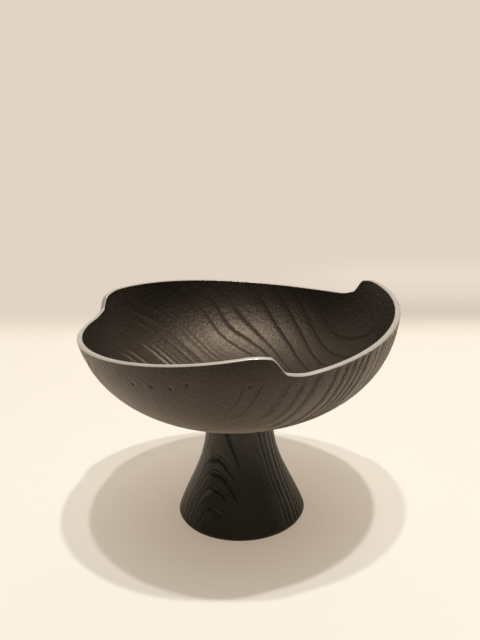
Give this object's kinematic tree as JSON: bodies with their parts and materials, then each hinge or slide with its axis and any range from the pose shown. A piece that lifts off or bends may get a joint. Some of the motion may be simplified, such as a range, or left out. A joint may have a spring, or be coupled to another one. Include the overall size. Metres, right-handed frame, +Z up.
{
  "type": "footed fruit bowl",
  "caption": "Round fruit bowl of black-coated cast aluminium with wood-grain relief, a bare stepped rim, and a hollow flared pedestal.",
  "frame": {"origin": "centre of the pedestal's foot, on the surface that the bowl stands on", "axes": "+Z up along the pedestal's axis; +X to the right and -Y towards the viewer of the picture"},
  "size_m": [0.2512, 0.2523, 0.1845],
  "materials": {
    "coated_casting": "matte",
    "bare_rim": "satin",
    "foot_rubber": "matte",
    "plated_steel": "satin"
  },
  "bodies": {
    "root": {"bowl": "coated_casting", "pedestal": "coated_casting", "foot_ring": "foot_rubber", "plain_washer": "plated_steel", "spring_washer": "plated_steel", "clamp_screw": "plated_steel"}
  },
  "joints": []
}
